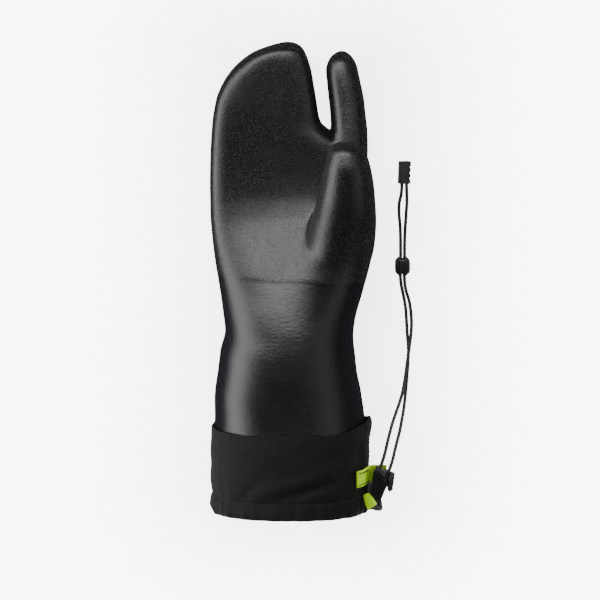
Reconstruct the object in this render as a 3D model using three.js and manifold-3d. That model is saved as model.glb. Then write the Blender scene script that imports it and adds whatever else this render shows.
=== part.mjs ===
// A three-finger work mitten for the right hand, lying on its back with the palm up: a padded and
// dipped shell with a cloth cuff, and the cuff's drawcord with its lock, bead and end piece.
// Millimetres. X runs to the thumb's side, Y from the hem to the fingertips, and Z up from the
// surface that the mitten lies on.
import * as THREE from 'three';
import { mergeVertices } from 'three/addons/utils/BufferGeometryUtils.js';
import Module from 'manifold-3d';

const wasm = await Module();
wasm.setup();

// Driving dimensions.
const SHELL_WALL = 3.0; // knitted liner, padding and dip together
const SHELL_SIDES = 24;
const LINING_SIDES = 16;
const COAT_EDGE = 175; // the second dip ends here, across the heel of the palm
const COAT_STEP = 0.2;
const GAUNTLET_END = 54; // where the shell stops, inside the cuff
const SEAM = 0.3; // between the shell and the two stalls that continue it

const CUFF_WALL = 1.2;
const CUFF_SIDES = 72;
const CUFF_RINGS = 10;
const CUFF_TOP = 63;
const CUFF_TOP_RISE = 7; // the top edge climbs on the thumb's side
const GATHERS = 18;
const GATHER_DEPTH = 0.5;
const HEM_HEIGHT = 13;

const WEB_THICKNESS = 1.2; // lime webbing
const TAB_WIDTH = 12.6;
const TAB_Y = 28.3;

const CORD_RADIUS = 1.3;
const CORD_SIDES = 8;
const CORD_STEPS = 64;
const CORD_CLEARANCE = 0.55;

const LOCK_CENTRE = [67.5, 21.4, 54.5];
const LOCK_LEAN = -22; // degrees about Z
const LOCK_THICKNESS = 9;
const COLLAR_THICKNESS = 10.2;
const BUTTON_THICKNESS = 7.6;

const BEAD_CENTRE = [84.2, 177, 4.2];
const BEAD_SIZE = [11.4, 13.6, 8];
const END_CENTRE = [85.2, 247.9, 4.3];
const END_SIZE = [8.2, 16.8, 5.4];
const END_ROLL = 24; // degrees: it lies on one edge, held by the stiff cords
const END_LEAN = -2;

const SEAT = 0.4; // the gap between a piece and what carries it

// Sections across the mitten, in planes of constant y: the outline's left and right edges, its
// back and front heights, and how square it is (2 is an ellipse). roll lifts the thumb's side.
const SECTION = ['y', 'left', 'right', 'back', 'front', 'roll', 'square'];

// Where the stalls part from the shell. The index stall is all that lies past these edges.
const INDEX_FORK = { x: 24.4, y: 262, z: 43.3 };
// The thumb stall is all that lies above this line, which clears the palm's front.
const THUMB_FORK = rows(['y', 'z'], [
  [197, 57.4],
  [210, 53.2],
  [222, 49.6],
  [236, 45.8],
  [243, 44.4],
  [251, 43.7],
  [290, 43.7],
]);

// From the open gauntlet over the wrist and palm to the tips of the three fingers.
const HAND = rows(SECTION, [
  [54, -56.5, 56.8, 1.7, 80.4, 0, 2.3],
  [70, -56.1, 55.5, 2.3, 78.4, 0, 2.3],
  [88, -56.0, 53.0, 3.4, 76.6, 0, 2.35],
  [104, -53.8, 49.8, 4.6, 75.2, 0.5, 2.25],
  [120, -51.8, 48.0, 5.8, 73.4, 1, 2.15],
  [135, -48.2, 46.6, 7.0, 71.0, 2, 2.1],
  [149, -49.8, 47.2, 7.4, 67.8, 3, 2.15],
  [164, -51.9, 50.4, 7.6, 63.6, 4, 2.3],
  [174, -53.4, 51.6, 7.6, 60.5, 4.5, 2.6],
  [176, -53.7, 51.7, 7.5, 59.9, 4.6, 2.7],
  [190, -55.6, 52.6, 6.6, 55.4, 5, 3.4],
  [206, -57.3, 53.5, 4.4, 49.9, 4, 4.4],
  [222, -58.6, 53.6, 2.2, 44.9, 2, 5.2],
  [238, -59.0, 53.2, 0.6, 42.2, 0.5, 5.5],
  [254, -58.9, 50.5, 0.5, 41.4, 0, 5.6],
  [267, -58.5, 45.0, 0.5, 41.2, 0, 5.6],
  [275, -58.1, 38.0, 0.7, 41.2, 0, 5.5],
  [281, -57.7, 29.5, 0.9, 41.2, 0, 5.4],
  [286, -57.3, 23.4, 1.2, 41.2, 0, 5.3],
  [293, -56.6, 21.0, 1.7, 41.2, 0, 5.2],
  [305, -54.3, 19.2, 3.1, 41.2, 0, 5],
  [316, -49.8, 17.4, 5.2, 41.1, 0, 4.7],
  [326, -43.4, 15.7, 7.9, 41.0, 0, 4.3],
  [334, -35.7, 13.5, 11.0, 40.7, 0, 3.8],
  [340.4, -27.0, 11.1, 14.6, 39.8, 0, 3.2],
  [344.8, -16.6, 8.1, 18.6, 37.6, 0, 2.6],
  [347.1, -8.0, 4.4, 22.4, 33.8, 0, 2.2],
]);
const HAND_TIP = [-1.2, 348.2, 27.6];

const INDEX = rows(SECTION, [
  [226, 20.0, 51.0, 5.0, 40.0, 0, 2.2],
  [242, 24.0, 54.6, 5.0, 41.6, 0, 2.2],
  [256, 27.0, 56.6, 5.6, 42.0, 0, 2.2],
  [270, 29.2, 57.4, 6.4, 41.4, 0, 2.2],
  [282, 30.2, 57.0, 7.4, 40.4, 0, 2.2],
  [294, 29.9, 55.7, 8.4, 39.2, 0, 2.2],
  [306, 28.7, 54.3, 9.4, 38.0, 0, 2.2],
  [319, 27.3, 51.6, 10.6, 36.8, 0, 2.2],
  [328, 26.6, 49.7, 11.8, 35.6, 0, 2.15],
  [334.4, 28.6, 47.2, 13.9, 33.8, 0, 2.1],
  [338.2, 31.4, 44.2, 16.8, 31.2, 0, 2.05],
  [340.4, 35.0, 41.2, 20.4, 27.8, 0, 2],
]);
const INDEX_TIP = [38.1, 341.1, 24.2];

const THUMB = rows(SECTION, [
  [128, -4.0, 34.0, 18.0, 48.0, 0, 2.1],
  [140, -8.0, 41.0, 16.0, 54.0, 0, 2.1],
  [152, -9.0, 46.6, 14.5, 57.6, 0, 2.1],
  [164, -9.0, 51.0, 13.6, 59.8, 0, 2.1],
  [174, -7.0, 54.7, 14.0, 61.2, 0, 2.1],
  [176, -6.2, 55.4, 14.3, 61.5, 0, 2.1],
  [184, -3.0, 58.4, 15.6, 62.8, 0, 2.1],
  [194, 3.0, 61.2, 19.0, 65.0, 0, 2.1],
  [206, 9.6, 62.7, 24.0, 68.4, 0, 2.1],
  [216, 14.0, 63.2, 29.5, 71.8, 0, 2.15],
  [225, 17.0, 63.0, 35.0, 75.0, 0, 2.2],
  [236, 19.6, 62.2, 41.0, 78.4, 0, 2.2],
  [250, 22.4, 60.8, 45.0, 80.8, 0, 2.2],
  [261, 24.6, 58.7, 47.6, 81.4, 0, 2.2],
  [269, 26.6, 56.4, 50.0, 80.4, 0, 2.1],
  [275, 29.0, 53.0, 54.6, 78.6, 0, 2.05],
  [278.6, 33.0, 48.2, 58.2, 75.2, 0, 2],
]);
const THUMB_TIP = [40.6, 280.3, 66.8];

// The cloth cuff from the hem up; the surface below flattens what would reach under it.
const CUFF = rows(SECTION, [
  [0, -57.4, 58.2, -1.6, 82.2, 0, 2.35],
  [4, -59.0, 59.4, -3.0, 83.8, 0, 2.35],
  [HEM_HEIGHT, -58.3, 58.8, -3.0, 83.2, 0, 2.35],
  [20, -59.2, 59.2, -3.0, 84.0, 0, 2.35],
  [40, -59.3, 59.2, -3.0, 84.0, 0, 2.35],
  [52, -59.2, 59.2, -1.8, 83.6, 0, 2.35],
  [59, -58.7, 58.8, -0.4, 82.4, 0, 2.3],
  [64, -58.2, 58.0, 0.2, 81.3, 0, 2.3],
  [71, -58.0, 57.6, 0.4, 80.4, 0, 2.3],
]);

// Folds of the cuff: where each lies (degrees round from +X towards the palm's side, and y), its
// half-widths round the cuff and along it, its height, and how far it slants round for each mm.
const FOLDS = rows(['angle', 'y', 'spread', 'reach', 'height', 'slant'], [
  [4, 66, 20, 8, 3.2, 0], // puff at the top edge
  [68, 25, 13, 12, -1.9, -2.9], // long slanting valley
  [70, 34, 15, 13, 1.4, -2.9], // ridge beside it
  [121, 20, 6, 10, -1.3, -0.8],
  [143, 18, 5, 12, -1.0, 0],
  [33, 44, 6, 9, -1.2, 0], // crease over the tab
]);

// Where the hem is pushed out to the side and pulled down: at the corner where the drawcord
// leaves it, and a little on the other side.
const CORNERS = rows(['angle', 'y', 'spread', 'reach', 'out', 'drop'], [
  [-20, 4, 17, 14, 11, 6],
  [180, 0, 30, 14, 0, 2],
]);

function rows(columns, values) {
  return values.map((row) => Object.fromEntries(columns.map((name, i) => [name, row[i]])));
}

function material(colour, roughness, metalness = 0) {
  return new THREE.MeshStandardMaterial({ color: colour, roughness, metalness });
}

const DIPPED = material(0x1c1c1e, 0.5);
const CLOTH = material(0x19181a, 0.9);
const LIME = material(0xb4dc28, 0.8);
const BLACK_PLASTIC = material(0x141416, 0.35);
const GREY_PLASTIC = material(0x2a2a2d, 0.5);
const CORD_BLACK = material(0x1b1b1c, 0.85);

// A point on a section's superellipse, at an angle from +X towards +Z.
function sectionPoint(row, angle, inset = 0) {
  const halfWidth = (row.right - row.left) / 2 - inset;
  const halfHeight = (row.front - row.back) / 2 - inset;
  const c = Math.cos(angle);
  const s = Math.sin(angle);
  const n = row.square;
  const reach = (Math.abs(c) ** n + Math.abs(s) ** n) ** (-1 / n);
  const roll = THREE.MathUtils.degToRad(row.roll);
  const across = halfWidth * reach * c;
  const up = halfHeight * reach * s;
  return new THREE.Vector3(
    (row.left + row.right) / 2 + across * Math.cos(roll) - up * Math.sin(roll),
    row.y,
    (row.back + row.front) / 2 + across * Math.sin(roll) + up * Math.cos(roll),
  );
}

// The section between two rows of a table.
function sectionAt(table, y) {
  const after = Math.max(1, table.findIndex((row) => row.y >= y));
  const [low, high] = [table[after - 1], table[after]];
  const share = THREE.MathUtils.clamp((y - low.y) / (high.y - low.y), 0, 1);
  return Object.fromEntries(SECTION.map((name) => [name, low[name] + share * (high[name] - low[name])]));
}

// A grid of points as a mesh. Each ring is closed; capped rings end in fans, others in a loop.
function ringMesh(rings, capped) {
  const sides = rings[0].length;
  const positions = rings.flat().flatMap((p) => [p.x, p.y, p.z]);
  const faces = [];
  const stitch = (a, b) => {
    for (let i = 0; i < sides; i += 1) {
      const j = (i + 1) % sides;
      faces.push(a * sides + i, a * sides + j, b * sides + j, a * sides + i, b * sides + j, b * sides + i);
    }
  };
  for (let k = 0; k + 1 < rings.length; k += 1) stitch(k, k + 1);
  if (capped) {
    const fan = (ring, centre, turned) => {
      const hub = positions.length / 3;
      positions.push(centre.x, centre.y, centre.z);
      for (let i = 0; i < sides; i += 1) {
        const [p, q] = [ring * sides + i, ring * sides + ((i + 1) % sides)];
        faces.push(...(turned ? [hub, p, q] : [hub, q, p]));
      }
    };
    fan(0, capped.start, false);
    fan(rings.length - 1, capped.end, true);
  } else {
    stitch(rings.length - 1, 0);
  }
  const geometry = new THREE.BufferGeometry();
  geometry.setAttribute('position', new THREE.Float32BufferAttribute(positions, 3));
  geometry.setIndex(faces);
  return geometry;
}

// A closed solid through a table's sections, from a flat start to a tip.
function loft(table, tip, sides, inset = 0) {
  const used = table.filter((row) => Math.min(row.right - row.left, row.front - row.back) > 2 * inset + 3);
  const grow = (row) => (row.y > COAT_EDGE && inset === 0 ? -COAT_STEP : inset);
  const rings = used.map((row) => {
    const ring = [];
    for (let i = 0; i < sides; i += 1) ring.push(sectionPoint(row, (2 * Math.PI * i) / sides, grow(row)));
    return ring.reverse();
  });
  const first = used[0];
  const start = new THREE.Vector3((first.left + first.right) / 2, first.y, (first.back + first.front) / 2);
  const end = new THREE.Vector3(tip[0], tip[1] - inset, tip[2]);
  return ringMesh(rings, { start, end });
}

function solid(geometry) {
  const bare = geometry.clone();
  for (const name of Object.keys(bare.attributes)) if (name !== 'position') bare.deleteAttribute(name);
  const merged = mergeVertices(bare, 1e-4);
  return new wasm.Manifold(new wasm.Mesh({
    numProp: 3,
    vertProperties: new Float32Array(merged.attributes.position.array),
    triVerts: new Uint32Array(merged.index.array),
  }));
}

function geometryOf(manifold) {
  const mesh = manifold.getMesh();
  const geometry = new THREE.BufferGeometry();
  geometry.setAttribute('position', new THREE.BufferAttribute(mesh.vertProperties, 3));
  geometry.setIndex(new THREE.BufferAttribute(mesh.triVerts, 1));
  return geometry;
}

function piece(name, geometry, finish) {
  const mesh = new THREE.Mesh(geometry, finish);
  mesh.name = name;
  return mesh;
}

// The space that the index stall takes, grown downwards and to the left.
function indexSpace(grow) {
  const { x, y, z } = INDEX_FORK;
  const box = new THREE.BoxGeometry(60, 100, 60);
  return solid(box.translate(x - grow + 30, y - grow + 50, z + grow - 30));
}

// The space that the thumb stall takes, grown the same way.
function thumbSpace(grow) {
  const corners = THUMB_FORK.map(({ y, z }) => new THREE.Vector2(z - grow, y - grow));
  const [first, last] = [corners[0], corners[corners.length - 1]];
  const outline = [...corners, new THREE.Vector2(100, last.y), new THREE.Vector2(100, first.y)];
  const prism = new THREE.ExtrudeGeometry(new THREE.Shape(outline), { depth: 140, bevelEnabled: false });
  return solid(prism.rotateY(-Math.PI / 2).translate(80, 0, 0));
}

// Three pockets joined into one skin, hollowed by the same pockets a wall's thickness smaller. The
// index finger's and the thumb's stalls are nodes of their own, parted by a hairline seam.
function mittenShell() {
  const pockets = [[HAND, HAND_TIP], [INDEX, INDEX_TIP], [THUMB, THUMB_TIP]];
  const joined = (sides, inset) => pockets
    .map(([table, tip]) => solid(loft(table, tip, sides, inset)))
    .reduce((all, pocket) => all.add(pocket));
  const mouthRow = { ...HAND[0], y: GAUNTLET_END - 6 };
  const mouth = loft([mouthRow, HAND[0], HAND[1]], [0, HAND[1].y + 1, 40], LINING_SIDES, SHELL_WALL);
  const hollow = joined(LINING_SIDES, SHELL_WALL).add(solid(mouth));
  const skin = joined(SHELL_SIDES, 0).subtract(hollow);
  return [
    piece('mitten_shell', geometryOf(skin.subtract(indexSpace(SEAM)).subtract(thumbSpace(SEAM))), DIPPED),
    piece('index_stall', geometryOf(skin.intersect(indexSpace(0))), DIPPED),
    piece('thumb_stall', geometryOf(skin.intersect(thumbSpace(0))), DIPPED),
  ];
}

function bell(distance, width) {
  return Math.exp(-((distance / width) ** 2));
}

function turnBetween(a, b) {
  return ((((a - b) % 360) + 540) % 360) - 180;
}

// A point of the cuff's cloth: angle in degrees, y along the mitten, inset from the outer face.
function cuffPoint(angle, y, inset) {
  const radians = THREE.MathUtils.degToRad(angle);
  const point = sectionPoint(sectionAt(CUFF, y), radians, inset);
  const outward = new THREE.Vector3(Math.cos(radians), 0, Math.sin(radians));
  let height = GATHER_DEPTH * Math.cos(GATHERS * radians) * bell(y, HEM_HEIGHT);
  for (const fold of FOLDS) {
    const middle = fold.angle + fold.slant * (y - fold.y);
    height += fold.height * bell(turnBetween(angle, middle), fold.spread) * bell(y - fold.y, fold.reach);
  }
  point.addScaledVector(outward, height);
  for (const corner of CORNERS) {
    const share = bell(turnBetween(angle, corner.angle), corner.spread);
    point.x += corner.out * share * bell(y - corner.y, corner.reach);
    point.y -= corner.drop * share * bell(y, corner.reach);
  }
  point.z = Math.max(point.z, inset);
  return point;
}

function cuff() {
  const ring = (share, inset) => {
    const points = [];
    for (let i = 0; i < CUFF_SIDES; i += 1) {
      const angle = (360 * i) / CUFF_SIDES;
      const top = CUFF_TOP + CUFF_TOP_RISE * bell(turnBetween(angle, 5), 32);
      points.push(cuffPoint(angle, share * top, inset));
    }
    return points.reverse();
  };
  const shares = Array.from({ length: CUFF_RINGS }, (_, k) => k / (CUFF_RINGS - 1));
  const outer = shares.map((share) => ring(share, 0));
  const inner = shares.map((share) => ring(share, CUFF_WALL)).reverse();
  return piece('cuff', ringMesh([...outer, ...inner], null), CLOTH);
}

// A strip's edge-on outline: a line of points thickened to both sides.
function stripShape(line, thickness) {
  const side = (sign) => line.map((p, i) => {
    const along = line[Math.min(i + 1, line.length - 1)].clone().sub(line[Math.max(i - 1, 0)]).normalize();
    return new THREE.Vector2(p.x - along.y * sign * thickness / 2, p.y + along.x * sign * thickness / 2);
  });
  return new THREE.Shape([...side(1), ...side(-1).reverse()]);
}

// Sewn flat on the cuff's flank, then bent out under the cord lock.
function lockTab() {
  const offset = SEAT + WEB_THICKNESS / 2;
  const line = [];
  for (const angle of [38, 34, 30, 26, 22, 18, 14]) {
    const p = cuffPoint(angle, TAB_Y, -offset);
    line.push(new THREE.Vector2(p.x, p.z));
  }
  const under = LOCK_CENTRE[2] - COLLAR_THICKNESS / 2 - offset;
  line.push(new THREE.Vector2(59.8, under + 1), new THREE.Vector2(61.2, under));
  line.push(new THREE.Vector2(72, under));
  const strip = new THREE.ExtrudeGeometry(stripShape(line, WEB_THICKNESS), {
    depth: TAB_WIDTH,
    bevelEnabled: false,
  });
  strip.rotateX(Math.PI / 2);
  strip.translate(0, TAB_Y + TAB_WIDTH / 2, 0);
  return piece('lock_tab', strip, LIME);
}

// A short tube of webbing, flat where it is sewn down and open at its mouth.
function cordLoop() {
  const sewn = new THREE.Vector3(56.4, 15.6, 61.8);
  const mouth = new THREE.Vector3(61.0, 6.2, 62.4);
  const along = mouth.clone().sub(sewn).normalize();
  const away = new THREE.Vector3(0.3, 0, 0.95);
  const across = new THREE.Vector3().crossVectors(along, away).normalize();
  const up = new THREE.Vector3().crossVectors(across, along);
  const stations = rows(['share', 'width', 'height'], [
    [0, 4.6, 2.6],
    [0.3, 6.4, 3.8],
    [0.65, 7.6, 5.2],
    [1, 7.8, 5.8],
  ]);
  const ring = (station, inset) => {
    const centre = sewn.clone().lerp(mouth, station.share);
    const points = [];
    for (let i = 0; i < 14; i += 1) {
      const angle = (2 * Math.PI * i) / 14;
      points.push(centre.clone()
        .addScaledVector(across, (station.width / 2 - inset) * Math.cos(angle))
        .addScaledVector(up, (station.height / 2 - inset) * Math.sin(angle)));
    }
    return points.reverse();
  };
  const outer = stations.map((station) => ring(station, 0));
  const inner = stations.map((station) => ring(station, WEB_THICKNESS - 0.2)).reverse();
  return piece('cord_loop', ringMesh([...outer, ...inner], null), LIME);
}

// Outline points of a flat moulding, extruded with a bevel about its middle plane.
function moulding(points, thickness, bevel) {
  const shape = new THREE.Shape(points.map(([x, y]) => new THREE.Vector2(x, y)));
  const geometry = new THREE.ExtrudeGeometry(shape, {
    depth: thickness - 2 * bevel,
    bevelThickness: bevel,
    bevelSize: bevel,
    bevelOffset: -bevel,
    bevelSegments: 2,
  });
  geometry.translate(0, 0, -(thickness - 2 * bevel) / 2);
  return geometry;
}

// A round bar between two points, used to drill the cord's holes.
function drill(from, to, radius) {
  const [a, b] = [new THREE.Vector3(...from), new THREE.Vector3(...to)];
  const bar = new THREE.CylinderGeometry(radius, radius, a.distanceTo(b), 10);
  const turn = new THREE.Quaternion().setFromUnitVectors(
    new THREE.Vector3(0, 1, 0),
    b.clone().sub(a).normalize(),
  );
  bar.applyQuaternion(turn);
  bar.translate(...a.clone().add(b).multiplyScalar(0.5).toArray());
  return solid(bar);
}

// The lock's own frame has its cord holes up and down. Each hole runs from below its foot to
// above its slanting top, and the two draw together at the foot.
const LOCK_HOLES = {
  a: [[-1.2, -16], [-3.2, -7], [-5.1, 2], [-5.3, 13]],
  b: [[2.2, -16], [2.0, -7], [1.8, 2], [1.7, 13]],
};

function placeOnLock(object) {
  object.position.set(...LOCK_CENTRE);
  object.rotation.z = THREE.MathUtils.degToRad(LOCK_LEAN);
  object.updateMatrixWorld();
  return object;
}

function lockHoles(key) {
  const [start, , bend, end] = LOCK_HOLES[key].map(([x, y]) => [x, y, 0]);
  const radius = CORD_RADIUS + CORD_CLEARANCE;
  const elbow = new THREE.SphereGeometry(radius, 10, 6);
  elbow.translate(...bend);
  return drill(start, bend, radius).add(drill(bend, end, radius)).add(solid(elbow));
}

function lockBody() {
  const outline = [[-8.9, 8.2], [-7.4, 0], [-4.2, -12.2], [4.4, -12.2], [4.4, 2.8]];
  const collar = [[-9.2, 9.0], [-8.8, 5.4], [4.4, -0.1], [4.4, 3.4]];
  const body = solid(moulding(outline, LOCK_THICKNESS, 1))
    .add(solid(moulding(collar, COLLAR_THICKNESS, 0.5)))
    .subtract(lockHoles('a'))
    .subtract(lockHoles('b'));
  return placeOnLock(piece('lock_body', geometryOf(body), BLACK_PLASTIC));
}

// The button above it, slotted for one strand, with teeth where the thumb presses.
function lockButton() {
  const [teeth, bite] = [5, 0.9];
  const [high, low] = [new THREE.Vector2(6.6, 12.2), new THREE.Vector2(10.0, -0.8)];
  const side = new THREE.Vector2(high.y - low.y, low.x - high.x).normalize();
  const outline = [[-8.2, 11.2], [-8.2, 9.4], [1.0, 5.7], [5.3, 4.6], [5.3, -0.6], [7.2, -2.6]];
  for (let k = 0; k < teeth; k += 1) {
    const root = low.clone().lerp(high, k / teeth);
    const crest = low.clone().lerp(high, (k + 0.6) / teeth);
    outline.push([root.x - side.x * bite, root.y - side.y * bite], [crest.x, crest.y]);
  }
  const reach = CORD_RADIUS + CORD_CLEARANCE;
  const slot = new THREE.BoxGeometry(2 * reach, 20, BUTTON_THICKNESS);
  slot.translate(LOCK_HOLES.b[2][0], 8, BUTTON_THICKNESS / 2);
  const button = solid(moulding(outline, BUTTON_THICKNESS, 0.4))
    .subtract(lockHoles('a'))
    .subtract(lockHoles('b'))
    .subtract(solid(slot));
  return placeOnLock(piece('lock_button', geometryOf(button), GREY_PLASTIC));
}

// Each strand: out of the hem, through the lock, over the surface, through the bead, to its end.
const STRAND = ['x', 'y', 'z'];
const STRAND_A = rows(STRAND, [
  [69.6, 41.8, 54.2], [71.3, 48.0, 51.4], [73.0, 53.9, 47.0], [74.8, 59.6, 41.8], [76.9, 65.2, 36.0],
  [79.2, 70.3, 30.0], [81.6, 75.5, 24.0], [83.8, 81.1, 18.0], [85.4, 86.8, 12.8], [86.6, 92.9, 8.8],
  [87.6, 99.3, 6.3], [88.5, 106.0, 4.9], [89.4, 112.7, 4.3], [90.3, 119.5, 3.9], [91.1, 127.0, 2.7],
  [91.3, 134.4, 1.5], [90.6, 142.8, 1.3], [89.3, 150.5, 1.3], [87.4, 156.5, 1.5], [86.2, 162.4, 2.9],
  [85.7, 168.4, 4.2], [85.7, 177.0, 4.2], [85.7, 185.6, 4.2], [85.7, 190.6, 3.0], [85.8, 196.0, 1.5], [86.2, 206.0, 1.3],
  [86.9, 218.0, 1.3], [87.3, 225.5, 1.5],
  [87.1, 231.0, 2.9], [86.9, 236.6, 4.1], [86.8, 240.8, 4.2], [86.7, 245.0, 4.2],
]);
const STRAND_B = rows(STRAND, [
  [76.1, 39.4, 54.0], [77.9, 46.0, 50.0], [79.9, 52.2, 43.8], [82.0, 58.2, 36.2], [83.6, 64.2, 28.6],
  [85.1, 70.2, 21.0], [86.0, 75.1, 15.2], [86.8, 80.1, 10.0], [87.5, 85.3, 6.0], [88.1, 91.6, 3.0],
  [88.7, 99.0, 1.5], [89.1, 106.7, 1.3], [89.0, 115.1, 1.3], [88.2, 123.6, 1.3], [87.6, 133.6, 1.3],
  [86.8, 144.3, 1.3], [85.3, 153.0, 1.5], [83.4, 162.0, 2.9], [82.7, 168.4, 4.2],
  [82.7, 177.0, 4.2], [82.7, 185.6, 4.2], [82.7, 190.6, 3.0], [82.7, 196.0, 1.5], [82.4, 206.0, 1.3], [81.4, 218.0, 1.3],
  [81.7, 225.0, 1.5],
  [82.9, 231.0, 2.9], [83.3, 236.6, 4.0], [83.4, 240.8, 4.1], [83.4, 245.0, 4.1],
]);

// How a strand's foot runs: out of the hem's corner and up to its hole in the lock.
const ROOTS = {
  a: [[64.0, 1.8, 39.2], [64.3, 1.2, 43.0], [62.4, 1.6, 48.4], [60.9, 3.8, 52.4]],
  b: [[67.2, 1.0, 36.4], [68.2, 0.0, 40.4], [67.4, 0.0, 46.0], [65.6, 1.6, 51.0]],
};

function strandCurve(key, run) {
  const lock = placeOnLock(new THREE.Object3D());
  const points = [
    ...ROOTS[key].map((p) => new THREE.Vector3(...p)),
    ...LOCK_HOLES[key].map(([x, y]) => lock.localToWorld(new THREE.Vector3(x, y, 0))),
    ...run.map((p) => new THREE.Vector3(p.x, p.y, p.z)),
  ];
  return new THREE.CatmullRomCurve3(points, false, 'centripetal');
}

function strand(key, run) {
  const outline = [];
  for (let i = 0; i < CORD_SIDES; i += 1) {
    const angle = (2 * Math.PI * i) / CORD_SIDES;
    outline.push(new THREE.Vector2(CORD_RADIUS * Math.cos(angle), CORD_RADIUS * Math.sin(angle)));
  }
  const tube = new THREE.ExtrudeGeometry(new THREE.Shape(outline), {
    steps: CORD_STEPS,
    bevelEnabled: false,
    extrudePath: strandCurve(key, run),
  });
  return piece(`cord_${key}`, tube, CORD_BLACK);
}

// Two rounded lobes with a groove between them, drilled for both strands.
function cordBead() {
  const [w, h, t] = BEAD_SIZE.map((size) => size / 2);
  const [corner, groove] = [2.6, 0.9];
  const outline = [
    [-groove, -h + groove], [groove, -h + groove], [groove + 0.8, -h], [w - corner, -h], [w, -h + corner],
    [w, h - corner], [w - corner, h], [groove + 0.8, h], [groove, h - groove], [-groove, h - groove],
    [-groove - 0.8, h], [-w + corner, h], [-w, h - corner], [-w, -h + corner], [-w + corner, -h],
    [-groove - 0.8, -h],
  ];
  let bead = solid(moulding(outline, 2 * t, 1.2));
  for (const x of [85.7, 82.7]) {
    const across = x - BEAD_CENTRE[0];
    bead = bead.subtract(drill([across, -h - 2, 0], [across, h + 2, 0], CORD_RADIUS + CORD_CLEARANCE));
  }
  const mesh = piece('cord_bead', geometryOf(bead), BLACK_PLASTIC);
  mesh.position.set(...BEAD_CENTRE);
  return mesh;
}

// A block with ribs down one side, drilled from its foot for the ends of both strands.
function cordEnd() {
  const [w, h, t] = END_SIZE.map((size) => size / 2);
  const [ribs, depth] = [4, 0.7];
  const outline = [[-w, h], [-w, -h], [w, -h]];
  const pitch = (2 * h) / ribs;
  for (let k = 1; k < ribs; k += 1) {
    const y = -h + k * pitch;
    outline.push([w, y - 1], [w - depth, y - 0.6], [w - depth, y + 0.6], [w, y + 1]);
  }
  outline.push([w, h]);
  const holder = new THREE.Object3D();
  holder.position.set(...END_CENTRE);
  holder.rotation.set(0, THREE.MathUtils.degToRad(END_ROLL), THREE.MathUtils.degToRad(END_LEAN), 'ZYX');
  holder.updateMatrixWorld();
  let block = solid(moulding(outline, 2 * t, 0.4));
  for (const run of [STRAND_A, STRAND_B]) {
    const [before, last] = run.slice(-2).map((p) => holder.worldToLocal(new THREE.Vector3(p.x, p.y, p.z)));
    const reach = last.clone().sub(before);
    const from = before.clone().addScaledVector(reach, -1);
    const to = last.clone().addScaledVector(reach, 0.12);
    block = block.subtract(drill(from.toArray(), to.toArray(), CORD_RADIUS + CORD_CLEARANCE));
  }
  const mesh = piece('cord_end', geometryOf(block), GREY_PLASTIC);
  mesh.position.copy(holder.position);
  mesh.rotation.copy(holder.rotation);
  return mesh;
}

const held = [...mittenShell(), cuff(), lockTab(), cordLoop(), lockBody(), lockButton()];
const loose = [strand('a', STRAND_A), strand('b', STRAND_B), cordBead(), cordEnd()];

// The origin is under the middle of the mitten, without its loose cord.
const box = new THREE.Box3();
for (const mesh of held) box.expandByObject(mesh, true);
const middle = box.getCenter(new THREE.Vector3());

const mitten = new THREE.Group();
mitten.name = 'work_mitten';
mitten.add(...held, ...loose);
mitten.position.set(-middle.x, -middle.y, 0);

export default mitten;
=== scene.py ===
"""A three-finger work mitten for the right hand, lying on its back on a pale surface."""

import math

import bpy
import numpy as np
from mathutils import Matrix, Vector


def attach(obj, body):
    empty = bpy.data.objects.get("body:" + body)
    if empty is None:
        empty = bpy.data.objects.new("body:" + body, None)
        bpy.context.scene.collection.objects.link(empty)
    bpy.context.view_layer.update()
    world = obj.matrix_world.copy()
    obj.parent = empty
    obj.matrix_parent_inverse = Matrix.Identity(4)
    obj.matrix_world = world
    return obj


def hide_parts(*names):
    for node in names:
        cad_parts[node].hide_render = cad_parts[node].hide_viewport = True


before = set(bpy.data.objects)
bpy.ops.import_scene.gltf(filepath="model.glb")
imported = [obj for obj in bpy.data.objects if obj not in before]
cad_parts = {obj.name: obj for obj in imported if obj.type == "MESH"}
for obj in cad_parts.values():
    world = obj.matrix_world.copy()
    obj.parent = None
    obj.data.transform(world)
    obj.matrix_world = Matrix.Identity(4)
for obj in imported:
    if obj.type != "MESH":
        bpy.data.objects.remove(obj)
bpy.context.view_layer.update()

# Tables and sizes below are in millimetres, measured from the hem's middle on the surface that
# the mitten lies on. X runs to the thumb's side, Y to the fingertips and Z up from the surface.
OFFSET = np.array([-9.384, -171.1, 0.0])


def place(points):
    """Those millimetres as metres in the row frame."""
    return (np.asarray(points, float) + OFFSET) * 0.001


# Camera and light. The panels' centres and sizes are in metres.
CAMERA_TILT = 11  # degrees from straight above, towards the fingertips
CAMERA_AIM = (7.4, 158, 40)
CAMERA_AWAY = 2.5
CAMERA_LENS = 202.7
WORLD_STRENGTH = 0.03
# name, centre, size, power
PANELS = [
    ("left_softbox", (-1.65, -0.2, 0.8), (1.3, 2.6), 52),
    ("overhead_softbox", (-0.7, 1.65, 2.8), (3.3, 1.25), 119),
    ("right_panel", (1.03, 0.1, 1.23), (1.0, 2.6), 5.5),
]


def make_camera():
    """Looks down on the palm, with the whole mitten and its cord in view."""
    tilt = math.radians(CAMERA_TILT)
    camera = bpy.data.cameras.new("camera")
    camera.lens = CAMERA_LENS
    camera.sensor_width = 36
    camera.clip_end = 50
    holder = bpy.data.objects.new("camera", camera)
    away = Vector((0, math.sin(tilt), math.cos(tilt)))
    holder.location = Vector(place(CAMERA_AIM)) + CAMERA_AWAY * away
    holder.rotation_euler = (-tilt, 0, 0)
    bpy.context.collection.objects.link(holder)
    bpy.context.scene.camera = holder


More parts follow.
